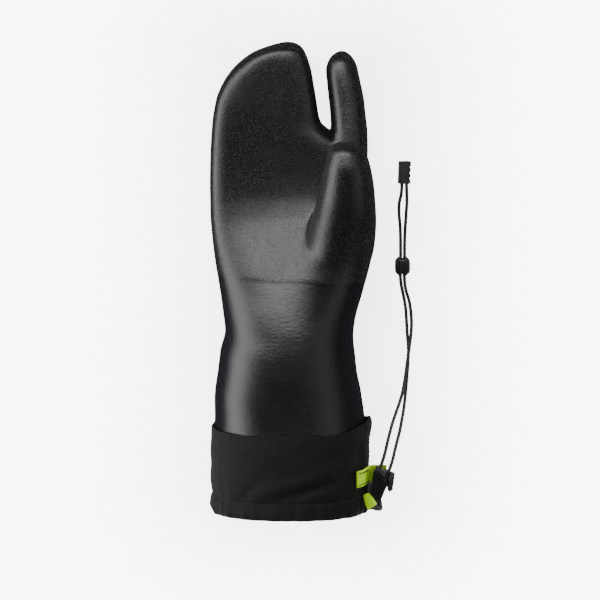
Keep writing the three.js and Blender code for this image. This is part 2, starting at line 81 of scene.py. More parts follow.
def make_panel(name, centre, size, power):
    """A softbox at centre, turned about Y alone to face the mitten's axis."""
    light = bpy.data.lights.new(name, "AREA")
    light.shape = "RECTANGLE"
    light.size, light.size_y = size
    light.energy = power
    holder = bpy.data.objects.new(name, light)
    holder.location = centre
    holder.rotation_euler = (0, math.atan2(centre[0], centre[2]), 0)
    bpy.context.collection.objects.link(holder)


def light_studio():
    """A faint even light all round, and the panels that the dip reflects as soft bands."""
    world = bpy.data.worlds.new("studio")
    bpy.context.scene.world = world
    world.use_nodes = True
    background = world.node_tree.nodes["Background"]
    background.inputs["Color"].default_value = (1, 1, 1, 1)
    background.inputs["Strength"].default_value = WORLD_STRENGTH
    for panel in PANELS:
        make_panel(*panel)


# Mesh helpers.
FLOOR_GAP = 0.02  # the lowest that a soft piece's points lie


def new_object(name, points, faces, material, smooth=True, uvs=None):
    """A mesh object from points in metres; uvs holds one (u, v) for each point."""
    mesh = bpy.data.meshes.new(name)
    mesh.from_pydata([tuple(p) for p in points], [], [tuple(int(i) for i in f) for f in faces])
    mesh.validate()
    mesh.polygons.foreach_set("use_smooth", [smooth] * len(mesh.polygons))
    if uvs is not None:
        layer = mesh.uv_layers.new(name="UVMap")
        corners = np.zeros(len(mesh.loops), dtype=np.int32)
        mesh.loops.foreach_get("vertex_index", corners)
        layer.data.foreach_set("uv", np.asarray(uvs, float)[corners].ravel())
    piece = bpy.data.objects.new(name, mesh)
    bpy.context.collection.objects.link(piece)
    if material is not None:
        mesh.materials.append(material)
    return piece


def ring_faces(rings, sides, closed=False):
    """Quads between rings of equal length; closed joins the last ring to the first."""
    faces = []
    for k in range(rings if closed else rings - 1):
        a, b = k * sides, (k + 1) % rings * sides
        faces += [(a + i, a + (i + 1) % sides, b + (i + 1) % sides, b + i) for i in range(sides)]
    return faces


def closed_tube(rings, sides):
    """Quads between the rings, and a face over each end."""
    ends = [tuple(range(sides - 1, -1, -1)), tuple(range((rings - 1) * sides, rings * sides))]
    return ring_faces(rings, sides) + ends


def turned_over(faces):
    return [face[::-1] for face in faces]


def unit(vectors):
    """One vector, or rows of them, at length 1."""
    return vectors / np.linalg.norm(vectors, axis=-1, keepdims=True)


def circle(centre, side, up, radius, sides):
    turns = [2 * math.pi * i / sides for i in range(sides)]
    return [centre + radius * (math.cos(a) * side + math.sin(a) * up) for a in turns]


def run_lengths(points):
    """How far along a line of points each of them lies."""
    return np.concatenate([[0], np.cumsum(np.linalg.norm(np.diff(points, axis=0), axis=1))])


def values_at(marks, gone, rows):
    """The rows' values at marks, where each row stands at its place in gone."""
    return np.stack([np.interp(marks, gone, column) for column in rows.T], axis=-1)


def bell(distance, width):
    return np.exp(-((np.asarray(distance, float) / width) ** 2))


def ramp(value):
    """0 to 1 with soft ends as value goes from 0 to 1."""
    t = np.clip(value, 0, 1)
    return t * t * (3 - 2 * t)


# The mitten: three rounded pockets, each a table of sections across it.
# y, left, right, back, front, roll in degrees (lifts the thumb's side), squareness
HAND = [
    (54, -56.5, 56.8, 1.7, 80.4, 0, 2.3),
    (70, -56.1, 55.5, 2.3, 78.4, 0, 2.3),
    (88, -56.0, 53.0, 3.4, 76.6, 0, 2.35),
    (104, -53.8, 49.8, 4.6, 75.2, 0.5, 2.25),
    (120, -51.8, 48.0, 5.8, 73.4, 1, 2.15),
    (135, -48.2, 46.6, 7.0, 71.0, 2, 2.1),
    (149, -49.8, 47.2, 7.4, 67.8, 3, 2.15),
    (164, -51.9, 50.4, 7.6, 63.6, 4, 2.3),
    (174, -53.4, 51.6, 7.6, 60.5, 4.5, 2.6),
    (190, -55.6, 52.6, 6.6, 55.4, 5, 3.4),
    (206, -57.3, 53.5, 4.4, 49.9, 4, 4.4),
    (222, -58.6, 53.6, 2.2, 44.9, 2, 5.2),
    (238, -59.0, 53.2, 0.6, 42.2, 0.5, 5.5),
    (254, -58.9, 50.5, 0.5, 41.4, 0, 5.6),
    (267, -58.5, 45.0, 0.5, 41.2, 0, 5.6),
    (275, -58.1, 38.0, 0.7, 41.2, 0, 5.5),
    (281, -57.7, 29.5, 0.9, 41.2, 0, 5.4),
    (286, -57.3, 23.4, 1.2, 41.2, 0, 5.3),
    (293, -56.6, 21.0, 1.7, 41.2, 0, 5.2),
    (305, -54.3, 19.2, 3.1, 41.2, 0, 5.0),
    (316, -49.8, 17.4, 5.2, 41.1, 0, 4.7),
    (326, -43.4, 15.7, 7.9, 41.0, 0, 4.3),
    (334, -35.7, 13.5, 11.0, 40.9, 0, 3.8),
    (340.4, -27.0, 11.1, 14.6, 40.4, 0, 3.2),
    (344.8, -16.6, 8.1, 18.6, 38.6, 0, 2.6),
    (347.1, -8.0, 4.4, 22.4, 34.6, 0, 2.2),
    (348.2, -1.2, -1.2, 27.6, 27.6, 0, 2),
]
INDEX = [
    (210, 36.0, 36.0, 22.0, 22.0, 0, 2.3),
    (226, 20.0, 51.0, 5.0, 40.0, 0, 2.3),
    (242, 24.0, 54.6, 5.0, 41.6, 0, 2.3),
    (256, 27.0, 56.6, 5.6, 42.0, 0, 2.3),
    (270, 29.2, 57.4, 6.4, 41.4, 0, 2.3),
    (282, 30.2, 57.0, 7.4, 40.4, 0, 2.3),
    (294, 29.9, 55.7, 8.4, 39.2, 0, 2.3),
    (306, 28.7, 54.3, 9.4, 38.0, 0, 2.3),
    (319, 27.3, 51.6, 10.6, 36.8, 0, 2.3),
    (328, 26.6, 49.7, 11.8, 35.6, 0, 2.15),
    (334.4, 28.6, 47.2, 13.9, 33.8, 0, 2.1),
    (338.2, 31.4, 44.2, 16.8, 31.2, 0, 2.05),
    (340.4, 35.0, 41.2, 20.4, 27.8, 0, 2),
    (341.1, 38.1, 38.1, 24.2, 24.2, 0, 2),
]
THUMB = [
    (112, 14.0, 14.0, 34.0, 34.0, 0, 2.1),
    (128, -4.0, 34.0, 18.0, 48.0, 0, 2.1),
    (140, -6.0, 41.0, 16.0, 54.0, 0, 2.1),
    (152, -5.0, 46.6, 14.5, 57.6, 0, 2.1),
    (164, -2.0, 51.0, 13.6, 59.8, 0, 2.1),
    (174, 1.0, 54.7, 14.0, 61.2, 0, 2.1),
    (184, 4.5, 58.4, 15.6, 62.8, 0, 2.1),
    (194, 8.0, 61.2, 19.0, 65.0, 0, 2.1),
    (206, 11.4, 62.7, 24.0, 68.4, 0, 2.1),
    (216, 14.0, 63.2, 29.5, 71.8, 0, 2.15),
    (225, 17.0, 63.0, 35.0, 75.0, 0, 2.2),
    (236, 19.6, 62.2, 41.0, 78.4, 0, 2.2),
    (250, 22.4, 60.8, 45.0, 80.8, 0, 2.2),
    (261, 24.6, 58.7, 47.6, 81.4, 0, 2.2),
    (269, 26.6, 56.4, 50.0, 80.4, 0, 2.1),
    (275, 29.0, 53.0, 54.6, 78.6, 0, 2.05),
    (278.6, 33.0, 48.2, 58.2, 75.2, 0, 2),
    (280.3, 40.6, 40.6, 66.8, 66.8, 0, 2),
]
SHELL_WALL = 3.0
SHELL_CELL = 1.7
COAT_STEP = 0.2
COAT_EDGE = 175.5  # at x = 0; the dip's edge drops a little towards the thumb
COAT_SLOPE = -0.04
GAUNTLET_END = 54.0
INDEX_FILLET = 4
THUMB_FILLET = 3
BALL_FILLET = 9  # added over the ball of the thumb, up to BALL_TOP, and fading over BALL_FADE
BALL_TOP = 172
BALL_FADE = 40
TABLE_STEP = 0.5
TABLE_BEYOND = 12
TABLE_SOFTENING = 2.2
NUDGE = 0.05


def smooth_columns(rows):
    """y in fine steps, and a limb's centre, squared half-sizes, roll and squareness there."""
    table = np.array(rows, float)
    y, left, right, back, front, roll, square = table.T
    columns = np.stack(
        [(left + right) / 2, (back + front) / 2, ((right - left) / 2) ** 2]
        + [((front - back) / 2) ** 2, np.radians(roll), square],
        axis=1,
    )
    step = np.diff(y)[:, None]
    slope = np.diff(columns, axis=0) / step
    tangent = np.vstack([slope[:1], np.zeros_like(slope[1:]), slope[-1:]])
    product = slope[:-1] * slope[1:]
    weight = (step[:-1] + step[1:]) * 3
    with np.errstate(divide="ignore", invalid="ignore"):
        harmonic = weight / (
            (2 * step[1:] + step[:-1]) / slope[:-1] + (step[1:] + 2 * step[:-1]) / slope[1:]
        )
    tangent[1:-1] = np.where(product > 0, harmonic, 0)
    fine = np.arange(y[0] - TABLE_BEYOND, y[-1] + TABLE_BEYOND, TABLE_STEP)
    k = np.clip(np.searchsorted(y, fine) - 1, 0, len(y) - 2)
    t = ((np.clip(fine, y[0], y[-1]) - y[k]) / np.diff(y)[k])[:, None]
    h = step[k]
    values = (
        columns[k] * (1 + 2 * t) * (1 - t) ** 2
        + tangent[k] * h * t * (1 - t) ** 2
        + columns[k + 1] * t**2 * (3 - 2 * t)
        + tangent[k + 1] * h * t**2 * (t - 1)
    )
    values += np.minimum(fine - y[0], 0)[:, None] * slope[0]
    values += np.maximum(fine - y[-1], 0)[:, None] * slope[-1]
    kernel = bell(np.arange(-8, 9) * TABLE_STEP, TABLE_SOFTENING)
    kernel /= kernel.sum()
    padded = np.pad(values, ((8, 8), (0, 0)), mode="edge")
    for c in range(values.shape[1]):
        values[:, c] = np.convolve(padded[:, c], kernel, mode="valid")
    return fine, values


LIMBS = [smooth_columns(rows) for rows in (HAND, INDEX, THUMB)]


def limb_level(points, limb):
    """Squared distance from the limb's axis, less its squared radius that way: 0 on its skin."""
    fine, values = limb
    x_mid, z_mid, half_x2, half_z2, roll, square = [
        np.interp(points[:, 1], fine, column) for column in values.T
    ]
    dx, dz = points[:, 0] - x_mid, points[:, 2] - z_mid
    across = dx * np.cos(roll) + dz * np.sin(roll)
    up = dz * np.cos(roll) - dx * np.sin(roll)
    far2 = across**2 + up**2 + 1e-9
    size_x2 = np.where(np.abs(half_x2) < 1e-3, 1e-3, np.abs(half_x2))
    size_z2 = np.where(np.abs(half_z2) < 1e-3, 1e-3, np.abs(half_z2))
    share = (across**2 / far2 / size_x2) ** (square / 2) + (up**2 / far2 / size_z2) ** (square / 2)
    radius2 = share ** (-2 / square)
    return far2 - np.where(half_x2 < 0, -radius2, radius2)


def limb_distance(points, limb):
    """The level divided by how fast it grows: close to millimetres near the skin."""
    level = limb_level(points, limb)
    growth = np.zeros(len(points))
    for axis in range(3):
        nudged = points.copy()
        nudged[:, axis] += NUDGE
        growth += ((limb_level(nudged, limb) - level) / NUDGE) ** 2
    return level / np.sqrt(growth + 4)


def melt(a, b, width):
    """The union of two distances with a soft fillet where they meet."""
    share = np.clip(0.5 + 0.5 * (b - a) / width, 0, 1)
    return b * (1 - share) + a * share - width * share * (1 - share)


def coat_share(points):
    """1 where the mitten has its second dip, 0 on the gauntlet."""
    edge = COAT_EDGE + COAT_SLOPE * points[:, 0] + 0.5 * np.sin(points[:, 0] / 9)
    return ramp((points[:, 1] - edge) / 1.6 + 0.5)


def mitten_distance(points):
    """The three pockets as one skin: the thumb's ball swells softly, and its free part is creased."""
    hand, index, thumb = [limb_distance(points, limb) for limb in LIMBS]
    width = THUMB_FILLET + BALL_FILLET * (1 - ramp((points[:, 1] - BALL_TOP) / BALL_FADE))
    return melt(melt(hand, index, INDEX_FILLET), thumb, width)


def shell_distance(points):
    """Below 0 in the mitten's wall, which is open at the gauntlet's end."""
    skin = mitten_distance(points)
    outer = skin - COAT_STEP * coat_share(points)
    opened = np.maximum(outer, -(skin + SHELL_WALL))
    return np.maximum(opened, GAUNTLET_END - points[:, 1])


def surface_net(field, low, cell):
    """Points and quads round field < 0: a point in each mixed cell, a quad over each crossing."""
    shape = np.array(field.shape)
    corners = np.array([(i, j, k) for i in (0, 1) for j in (0, 1) for k in (0, 1)])
    stack = np.stack(
        [field[tuple(slice(c, n - 1 + c) for c, n in zip(corner, shape))] for corner in corners],
        axis=-1,
    )
    inside = stack < 0
    mixed = inside.any(-1) & ~inside.all(-1)
    cells = np.argwhere(mixed)
    values = stack[mixed]
    total = np.zeros((len(cells), 3))
    count = np.zeros((len(cells), 1))
    for a in range(8):
        for b in range(a + 1, 8):
            if np.abs(corners[a] - corners[b]).sum() != 1:
                continue
            crossing = ((values[:, a] < 0) != (values[:, b] < 0))[:, None]
            gap = values[:, a] - values[:, b]
            share = np.where(np.abs(gap) > 1e-12, values[:, a] / np.where(gap == 0, 1, gap), 0.5)
            total += crossing * (corners[a] + share[:, None] * (corners[b] - corners[a]))
            count += crossing
    points = low + cell * (cells + total / count)
    index = np.full(shape - 1, -1)
    index[mixed] = np.arange(len(cells))
    quads = []
    for axis in range(3):
        u, v = (axis + 1) % 3, (axis + 2) % 3
        one = [slice(None)] * 3
        two = [slice(None)] * 3
        one[axis], two[axis] = slice(0, -1), slice(1, None)
        first, second = field[tuple(one)] < 0, field[tuple(two)] < 0
        for flipped in (False, True):
            found = np.argwhere((first & ~second) if not flipped else (~first & second))
            keep = (found[:, u] > 0) & (found[:, v] > 0)
            keep &= (found[:, u] < shape[u] - 1) & (found[:, v] < shape[v] - 1)
            found = found[keep]
            steps = [(0, 0), (-1, 0), (-1, -1), (0, -1)]
            if flipped:
                steps.reverse()
            quad = []
            for du, dv in steps:
                corner = found.copy()
                corner[:, u] += du
                corner[:, v] += dv
                quad.append(index[corner[:, 0], corner[:, 1], corner[:, 2]])
            quads.append(np.stack(quad, axis=1))
    return points, np.vstack(quads)


def drop_to_surface(points, distance, reach):
    """Moves points onto distance = 0 along its slope."""
    for _ in range(2):
        here = distance(points)
        slope = np.zeros_like(points)
        for axis in range(3):
            nudged = points.copy()
            nudged[:, axis] += NUDGE
            slope[:, axis] = (distance(nudged) - here) / NUDGE
        length2 = np.maximum((slope**2).sum(1), 0.2)
        move = np.clip(here / length2, -reach, reach)
        points = points - slope * move[:, None]
    return points


def make_mitten(dipped, liner):
    """The dipped shell, with the knitted liner on its inner faces."""
    low, high = np.array([-62.0, 52.0, -2.0]), np.array([67.0, 351.0, 85.0])
    counts = np.ceil((high - low) / SHELL_CELL).astype(int)
    axes = [low[a] + SHELL_CELL * np.arange(counts[a]) for a in range(3)]
    grid = np.stack(np.meshgrid(*axes, indexing="ij"), axis=-1).reshape(-1, 3)
    field = np.concatenate([shell_distance(part) for part in np.array_split(grid, 8)])
    points, quads = surface_net(field.reshape(counts), low, SHELL_CELL)
    points = drop_to_surface(points, shell_distance, 0.6 * SHELL_CELL)
    points[:, 2] = np.maximum(points[:, 2], FLOOR_GAP)
    piece = new_object("dipped_shell", place(points), quads, dipped)
    piece.data.materials.append(liner)
    middles = points[quads].mean(axis=1)
    within = (mitten_distance(middles) < -SHELL_WALL / 2).astype(np.int32)
    piece.data.polygons.foreach_set("material_index", within)
    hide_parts("mitten_shell", "index_stall", "thumb_stall")
    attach(piece, "root")


# The cloth cuff.
# y, left, right, back, front, roll, squareness
CUFF = [
    (0, -57.4, 58.2, -1.6, 82.2, 0, 2.35),
    (4, -59.0, 59.4, -3.0, 83.8, 0, 2.35),
    (13, -58.3, 58.8, -3.0, 83.2, 0, 2.35),
    (20, -59.2, 59.2, -3.0, 84.0, 0, 2.35),
    (40, -59.3, 59.2, -3.0, 84.0, 0, 2.35),
    (52, -59.2, 59.2, -1.8, 83.6, 0, 2.35),
    (59, -58.7, 58.8, -0.4, 82.4, 0, 2.3),
    (64, -58.2, 58.0, 0.2, 81.3, 0, 2.3),
    (71, -58.0, 57.6, 0.4, 80.4, 0, 2.3),
]
# degrees round from +X towards the palm, y, half-width round it, reach along it, height, slant
FOLDS = [
    (4, 66, 20, 8, 3.2, 0),  # puff at the top edge
    (68, 25, 13, 12, -1.9, -2.9),  # long slanting valley
    (70, 34, 15, 13, 1.4, -2.9),  # ridge beside it
    (121, 20, 6, 10, -1.3, -0.8),
    (143, 18, 5, 12, -1.0, 0),
    (33, 44, 6, 9, -1.2, 0),  # crease over the tab
    (112, 44, 16, 16, 0.5, 1.2),
    (84, 50, 10, 10, -0.4, -1.5),
    (160, 30, 9, 18, -0.5, 0),
    (152, 12, 4, 8, -0.7, 0),
    (48, 17, 5, 9, -0.8, -0.6),
    (22, 30, 8, 10, -0.7, 0.8),
    (200, 34, 14, 20, 0.7, 0.6),
    (330, 38, 12, 18, -0.8, 0.5),
]
# degrees, y, half-width round it, reach along it, how far out in x, how far down in y
CORNERS = [
    (-20, 4, 17, 14, 11, 6),
    (180, 0, 30, 14, 0, 2),
]
CUFF_WALL = 1.2
CUFF_TOP = 63.0
CUFF_TOP_RISE = 7.0
HEM_HEIGHT = 13.0
CUFF_AROUND = 420
CUFF_ALONG = 104
CUFF_GIRTH = 0.345  # of the weave's pattern, in metres
# waves round the cuff, size, phase, then waves and size of their own sway
PUCKERS = [
    (18, 0.5, 0, 0, 0),
    (31, 0.32, 1.3, 3, 0.5),
    (47, 0.24, 0.4, 2, 0.8),
]


def turn_between(a, b):
    return (np.asarray(a) - b + 180) % 360 - 180


def gathers(angle, y):
    """Small uneven puckers that the drawcord makes, strongest at the hem."""
    radians = np.radians(angle)
    swing = 0
    for waves, size, phase, sway_waves, sway in PUCKERS:
        swing = swing + size * np.cos(waves * radians + phase + sway * np.sin(sway_waves * radians))
    swing = swing * (0.75 + 0.35 * np.sin(2.3 * radians + 0.6))
    return swing * (bell(y, HEM_HEIGHT) + 0.28 * bell(y - CUFF_TOP, 5))


def cuff_surface(angle, y, fine=True):
    """Points of the cuff's outer face, from degrees round it and y along it; fine adds the hem."""
    table = np.array(CUFF, float)
    left, right, back, front, _, square = [np.interp(y, table[:, 0], c) for c in table.T[1:]]
    radians = np.radians(angle)
    c, s = np.cos(radians), np.sin(radians)
    reach = (np.abs(c) ** square + np.abs(s) ** square) ** (-1 / square)
    x = (left + right) / 2 + (right - left) / 2 * reach * c
    z = (back + front) / 2 + (front - back) / 2 * reach * s
    height = gathers(angle, y)
    for centre, fold_y, spread, along, tall, slant in FOLDS:
        middle = centre + slant * (y - fold_y)
        height = height + tall * bell(turn_between(angle, middle), spread) * bell(y - fold_y, along)
    if fine:
        channel = ramp((y + 1) / 4) * (1 - ramp((y - 9) / 3.4))
        height = height + 0.45 * channel - 0.55 * bell(y - HEM_HEIGHT + 0.4, 0.9)
        height = height + 0.22 * np.sin(y / 3.1 + 2 * np.sin(radians * 2)) * bell(y - 34, 30)
    x, z = x + height * c, z + height * s
    along_y = y.astype(float).copy()
    for centre, corner_y, spread, along, out, drop in CORNERS:
        share = bell(turn_between(angle, centre), spread)
        x = x + out * share * bell(y - corner_y, along)
        along_y = along_y - drop * share * bell(y, along)
    return np.stack([x, along_y, np.maximum(z, FLOOR_GAP)], axis=-1)


def cuff_top(angle):
    """How far along the mitten the cuff's top edge lies."""
    wave = 0.35 * np.sin(np.radians(angle * 5)) + 0.25 * np.sin(np.radians(angle * 11 + 40))
    return CUFF_TOP + CUFF_TOP_RISE * bell(turn_between(angle, 5), 32) + wave


def make_cuff(cloth):
    """The cuff's cloth with its thickness, and rounded edges at the hem and the top."""
    angle = np.arange(CUFF_AROUND) * 360 / CUFF_AROUND
    share = np.linspace(0, 1, CUFF_ALONG)[:, None]
    y = share * cuff_top(angle)[None, :]
    outer = cuff_surface(np.broadcast_to(angle, y.shape), y)
    across = np.roll(outer, -1, axis=1) - np.roll(outer, 1, axis=1)
    along = np.gradient(outer, axis=0)
    inner = outer - CUFF_WALL * unit(np.cross(along, across))
    inner[..., 2] = np.maximum(inner[..., 2], CUFF_WALL)
    hem, rim = [], []
    for turn in (45, 90, 135):
        a = math.radians(turn)
        for rows, k, way in ((hem, 0, -1), (rim, -1, 1)):
            middle = (outer[k] + inner[k]) / 2
            side = (outer[k] - inner[k]) / 2
            beyond = CUFF_WALL / 2 * way * unit(along[k])
            rows.append(middle + math.cos(a) * side + math.sin(a) * beyond)
    rings = [*outer, *rim, *inner[::-1], *hem[::-1]]
    points = np.concatenate(rings)
    points[:, 2] = np.maximum(points[:, 2], FLOOR_GAP)
    u = np.tile(angle / 360 * CUFF_GIRTH, len(rings))
    v = np.concatenate([ring[:, 1] * 0.001 for ring in rings])
    faces = turned_over(ring_faces(len(rings), CUFF_AROUND, closed=True))
    piece = new_object("cuff_cloth", place(points), faces, cloth, uvs=np.stack([u, v], axis=1))
    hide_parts("cuff")
    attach(piece, "root")
    return piece


# Stitches: short bent threads laid along a line of points.
STITCH_SIDES = 6
STITCH_STEPS = (0, 0.15, 0.5, 0.85, 1)
STITCH_SAG = 0.35  # how deep its ends dive, as a share of its radius
STITCH_SHARE = 0.62  # of the pitch; the rest is the gap to the next one


def thread_stitch(start, end, up, radius):
    """Points and faces of one stitch: a thread that dives into the cloth at both ends."""
    side = unit(np.cross(unit(end - start), up))
    points = []
    for t in STITCH_STEPS:
        lift = radius * (4 * t * (1 - t) * (1 + STITCH_SAG) - STITCH_SAG)
        points += circle(start + (end - start) * t + up * lift, side, up, radius, STITCH_SIDES)
    return points, closed_tube(len(STITCH_STEPS), STITCH_SIDES)


def make_stitches(name, lines, material, pitch, radius):
    """Rows of stitches on lines of (point, outward direction), joined in one mesh."""
    points, faces = [], []
    for line in lines:
        spots, outward = [np.array(rows, float) for rows in zip(*line)]
        gone = run_lengths(spots)
        count = max(int(gone[-1] / pitch), 1)
        step = gone[-1] / count
        for k in range(count):
            marks = [step * (k + (1 + way * STITCH_SHARE) / 2) for way in (-1, 1)]
            start, end = [values_at(mark, gone, spots) for mark in marks]
            up = unit(values_at(marks[0], gone, outward))
            more, more_faces = thread_stitch(start, end, up, radius)
            faces += [tuple(i + len(points) for i in face) for face in more_faces]
            points += more
    piece = new_object(name, place(points), faces, material)
    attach(piece, "root")
    return piece


def hem_stitches(thread):
    """One row of stitches round the cuff, just below the top of the hem."""
    angle = np.linspace(0, 360, 721)
    y = np.full(angle.shape, HEM_HEIGHT - 0.4)
    at = cuff_surface(angle, y)
    round_it = np.gradient(at, axis=0)
    up_it = cuff_surface(angle, y + 0.5) - cuff_surface(angle, y - 0.5)
    out = unit(np.cross(up_it, round_it))
    line = [(p, o) for p, o in zip(at, out) if p[2] > 2.5]
    return make_stitches("hem_stitches", [line], thread, 3.3, 0.2)


# Lime webbing: the tab that holds the lock, and the rolled loop.
WEB_THICKNESS = 1.2
TAB_WIDTH = 12.6
TAB_Y = 28.3
TAB_STEPS = 60
TAB_SEWN = slice(2, 30)  # the steps with stitches along them
TAB_ROWS = (-4.3, 4.4)
SEAT = 0.4
LOOP_WALL = 1.0
LOCK_CENTRE = (67.5, 21.4, 54.5)
COLLAR_THICKNESS = 10.2


def tab_course():
    """The tab's middle line as (x, z), from its sewn end to under the lock, and its outward side."""
    offset = SEAT + WEB_THICKNESS / 2
    angles = np.arange(38.0, 13, -4)
    flank = cuff_surface(angles, np.full(angles.shape, TAB_Y), fine=False)[:, [0, 2]]
    out = np.stack([np.cos(np.radians(angles)), np.sin(np.radians(angles))], axis=1)
    under = LOCK_CENTRE[2] - COLLAR_THICKNESS / 2 - offset
    bent = [(59.8, under + 1), (61.2, under), (66, under), (72, under)]
    line = resample([*(flank + offset * 1.06 * out), *bent], TAB_STEPS)
    tangent = unit(np.gradient(line, axis=0))
    return line, np.stack([-tangent[:, 1], tangent[:, 0]], axis=1)


def resample(points, count):
    """A smooth line through points, at count even steps."""
    for _ in range(3):
        points = cut_corners(np.asarray(points, float))
    gone = run_lengths(points)
    return values_at(np.linspace(0, gone[-1], count), gone, points)


def cut_corners(points):
    """Cuts each corner of a line of points once."""
    line = [points[0]]
    for a, b in zip(points[:-1], points[1:]):
        line += [0.75 * a + 0.25 * b, 0.25 * a + 0.75 * b]
    return np.array(line + [points[-1]])


def make_tab(webbing):
    """The webbing tab, with soft edges and the ribs of its weave."""
    line, outward = tab_course()
    half = TAB_WIDTH / 2
    top = [(across, 1) for across in np.linspace(0.5 - half, half - 0.5, 9)]
    top += [(half, 0.5), (half, -0.5)]
    section = top + [(-across, -up) for across, up in top]
    points, uvs = [], []
    for (x, z), (nx, nz), gone in zip(line, outward, run_lengths(line)):
        ripple = 1 + 0.06 * math.sin(gone * 2.4)
        for across, up in section:
            lift = -up * WEB_THICKNESS / 2 * ripple
            points.append((x + nx * lift, TAB_Y + across, z + nz * lift))
            uvs.append((across * 0.001, gone * 0.001))
    faces = closed_tube(len(line), len(section))
    piece = new_object("lock_tab_webbing", place(points), faces, webbing, uvs=uvs)
    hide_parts("lock_tab")
    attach(piece, "root")


def tab_stitches(thread):
    """A row of stitches along each edge of the tab, where it is sewn to the cuff."""
    line, outward = tab_course()
    on_top = line + outward * WEB_THICKNESS / 2
    lines = []
    for across in TAB_ROWS:
        rows = zip(on_top[TAB_SEWN], outward[TAB_SEWN])
        lines.append([((p[0], TAB_Y + across, p[1]), (o[0], 0, o[1])) for p, o in rows])
    return make_stitches("tab_stitches", lines, thread, 2.8, 0.5)


def make_loop(webbing):
    """The rolled tube of webbing, flat where it is sewn down and open at its mouth."""
    sewn, mouth = np.array([56.4, 15.6, 61.8]), np.array([61.0, 6.2, 62.4])
    along = unit(mouth - sewn)
    across = unit(np.cross(along, (0.3, 0, 0.95)))
    up = np.cross(across, along)
    shares = [0, 0.3, 0.65, 1]
    widths, heights = [4.6, 6.4, 7.6, 7.8], [2.6, 3.8, 5.2, 5.8]
    sides, steps = 48, 26
    rings, uvs = [], []
    for wall, order in ((0, range(steps)), (LOOP_WALL, range(steps - 1, -1, -1))):
        for k in order:
            t = k / (steps - 1)
            half_w = np.interp(t, shares, widths) / 2 - wall
            half_h = max(np.interp(t, shares, heights) / 2 - wall, 0.25)
            centre = sewn + (mouth - sewn) * t
            for i in range(sides):
                a = 2 * math.pi * i / sides
                skew = 0.5 * math.cos(a) * (t - 0.3)
                crumple = 1 + 0.05 * math.sin(3 * a + 4 * t)
                out = across * half_w * math.cos(a) + up * half_h * math.sin(a)
                rings.append(centre + out * crumple + along * skew)
                uvs.append((i / sides * 0.022, t * 0.0105))
    faces = turned_over(ring_faces(2 * steps, sides, closed=True))
    piece = new_object("cord_loop_webbing", place(rings), faces, webbing, uvs=uvs)
    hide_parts("cord_loop")
    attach(piece, "root")


# Moulded pieces: the lock, its button, the bead and the end piece.


def rounded_outline(corners, radius, steps=4):
    """A closed outline with its corners rounded, counterclockwise."""
    corners = np.array(corners, float)
    outline = []
    triples = zip(np.roll(corners, 1, axis=0), corners, np.roll(corners, -1, axis=0))
    for before, corner, after in triples:
        arms = (before - corner, after - corner)
        cut_back = min(radius, *[0.45 * np.linalg.norm(arm) for arm in arms])
        start, end = [corner + unit(arm) * cut_back for arm in arms]
        for t in np.linspace(0, 1, steps + 1):
            outline.append((1 - t) ** 2 * start + 2 * t * (1 - t) * corner + t**2 * end)
    return np.array(outline)


def inset_outline(outline, amount):
    """The outline moved inwards, each point along the mean of its two sides' normals."""
    before, after = np.roll(outline, 1, axis=0), np.roll(outline, -1, axis=0)
    tangent = after - before
    tangent /= np.linalg.norm(tangent, axis=1, keepdims=True) + 1e-12
    return outline + amount * np.stack([-tangent[:, 1], tangent[:, 0]], axis=1)


def moulding(corners, thickness, bevel, radius):
    """Points and faces of a flat moulding with rounded edges, about z = 0."""
    outline = rounded_outline(corners, radius)
    levels = []
    for a in np.radians([0, 22.5, 45, 67.5, 90]):
        levels.append((bevel * (1 - math.sin(a)), -thickness / 2 + bevel * (1 - math.cos(a))))
    levels += [(inset, -z) for inset, z in reversed(levels)]
    points = []
    for inset, z in levels:
        points += [(x, y, z) for x, y in inset_outline(outline, inset)]
    return points, closed_tube(len(levels), len(outline))


def placed(points, centre, lean=0.0, roll=0.0):
    """Points turned by roll about y, then lean about z (degrees), and moved to centre."""
    a, b = math.radians(lean), math.radians(roll)
    about_y = np.array([[math.cos(b), 0, math.sin(b)], [0, 1, 0], [-math.sin(b), 0, math.cos(b)]])
    about_z = np.array([[math.cos(a), -math.sin(a), 0], [math.sin(a), math.cos(a), 0], [0, 0, 1]])
    return np.asarray(points, float) @ (about_z @ about_y).T + np.array(centre)


def rod(start, end, radius, sides=24):
    """Points and faces of a round bar between two points."""
    start, end = np.array(start, float), np.array(end, float)
    along = unit(end - start)
    side = unit(np.cross(along, (0.31, 0.2, 0.93)))
    up = np.cross(along, side)
    points = circle(start, side, up, radius, sides) + circle(end, side, up, radius, sides)
    return points, closed_tube(2, sides)


def cut(piece, points, faces, operation="DIFFERENCE"):
    """Cuts a tool mesh out of the piece, or adds it."""
    tool = new_object("tool", place(points), faces, None, smooth=False)
    change = piece.modifiers.new("cut", "BOOLEAN")
    change.operation = operation
    change.solver = "MANIFOLD"
    change.object = tool
    graph = bpy.context.evaluated_depsgraph_get()
    mesh = bpy.data.meshes.new_from_object(piece.evaluated_get(graph))
    piece.modifiers.clear()
    piece.data = mesh
    bpy.data.objects.remove(tool)


def drill(piece, start, end):
    """A hole for a strand between two points."""
    cut(piece, *rod(start, end, HOLE_RADIUS))


def sharpen(piece, degrees=38):
    """Smooth shading, with edges sharper than that kept crisp."""
    piece.data.polygons.foreach_set("use_smooth", [True] * len(piece.data.polygons))
    piece.data.set_sharp_from_angle(angle=math.radians(degrees))


LOCK_LEAN = -22.0
HOLE_RADIUS = 1.7
